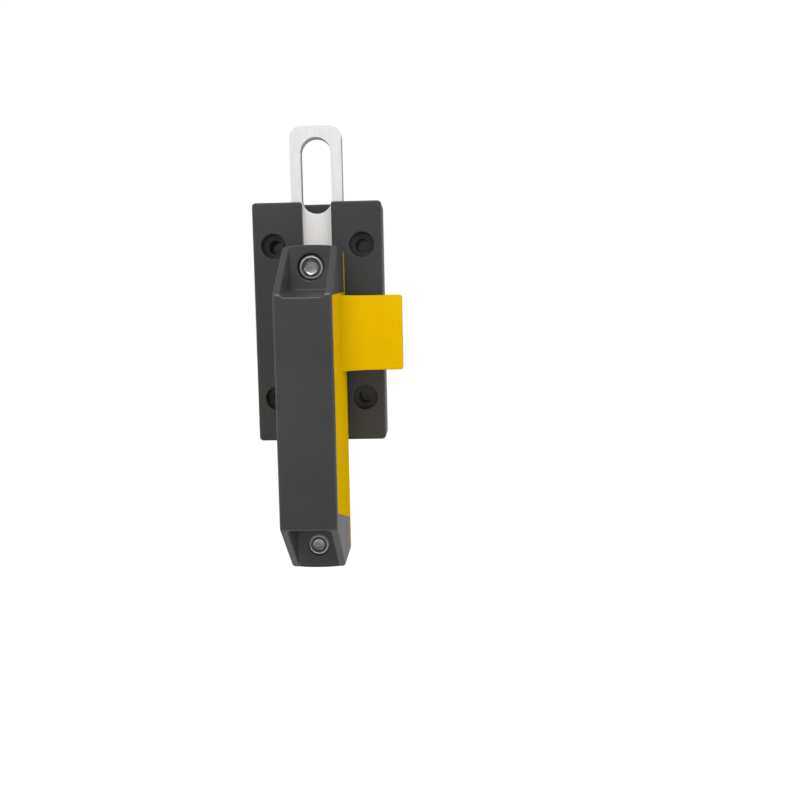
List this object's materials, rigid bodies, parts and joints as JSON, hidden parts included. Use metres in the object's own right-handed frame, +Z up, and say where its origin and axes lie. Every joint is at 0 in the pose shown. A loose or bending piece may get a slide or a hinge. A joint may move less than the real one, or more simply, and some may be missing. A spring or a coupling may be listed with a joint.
{
  "type": "safety interlock door handle actuator",
  "caption": "Door-side actuator of a safety interlock switch: black base with a pull-out steel padlock slide, turning black grip and yellow tongue.",
  "frame": {"origin": "centre of the four mounting holes, on the back face of the base", "axes": "+Z up along the door, -Y out of the front, +X towards the tongue as drawn"},
  "size_m": [0.0691, 0.0844, 0.1978],
  "materials": {
    "base_black": "fine moulded grain",
    "cover_black": "fine moulded grain",
    "grip_black": "satin moulded",
    "actuator_yellow": "satin moulded, bright yellow",
    "slide_steel": "brushed lengthwise",
    "screw_steel": "bright stainless",
    "bright_steel": "ground and polished",
    "bush_plastic": "plain bearing plastic",
    "insert_brass": "turned",
    "target_grey": "potted"
  },
  "bodies": {
    "base": {"base_housing": "base_black", "back_cover": "cover_black", "cover_screws": "screw_steel", "front_bush": "bush_plastic", "rear_bush": "bush_plastic", "hub_washer": "bush_plastic", "stop_pin": "screw_steel", "index_balls": "bright_steel", "index_springs": "screw_steel", "slide_stop_pin": "screw_steel", "slide_detent_ball": "bright_steel", "slide_detent_spring": "screw_steel", "slide_detent_plug": "screw_steel"},
    "slide": {"lockout_slide": "slide_steel"},
    "handle": {"grip_shell": "grip_black", "actuator_body": "actuator_yellow", "spindle": "bright_steel", "spindle_screw": "screw_steel", "spindle_washer": "screw_steel", "index_disc": "bright_steel", "retaining_ring": "screw_steel", "grip_screw_top": "screw_steel", "grip_screw_bottom": "screw_steel", "insert_top": "insert_brass", "insert_bottom": "insert_brass", "coded_target": "target_grey", "target_cover": "actuator_yellow"}
  },
  "joints": [
    {"name": "handle_turn", "type": "hinge", "parent": "base", "child": "handle", "pos_m": [0, -0.02, -0.0052], "axis": [0, 1, 0], "range_deg": [0, 90]},
    {"name": "slide_travel", "type": "slide", "parent": "base", "child": "slide", "axis": [0, 0, 1], "range_m": [-0.03, 0]}
  ]
}
